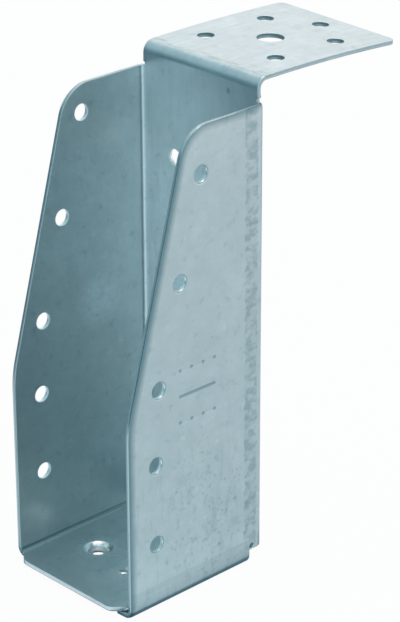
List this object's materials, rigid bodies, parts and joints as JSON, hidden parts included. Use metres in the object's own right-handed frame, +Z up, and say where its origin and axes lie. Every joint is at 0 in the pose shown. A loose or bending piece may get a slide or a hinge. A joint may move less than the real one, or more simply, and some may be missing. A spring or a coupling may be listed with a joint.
{
  "type": "joist hanger",
  "caption": "Top-flange joist hanger folded from one galvanised steel sheet: a U-shaped pocket for the joist's end and a flange that lies on the header beam.",
  "frame": {"origin": "middle of the seat's top face, where the joist's end rests", "axes": "+X across the joist, +Y towards the header beam, +Z up"},
  "size_m": [0.05, 0.1087, 0.1491],
  "materials": {
    "galvanised_sheet": "hot-dip galvanised, faint mottled zinc with press marks and fine scratches"
  },
  "bodies": {
    "root": {"hanger_sheet": "galvanised_sheet"}
  },
  "joints": []
}
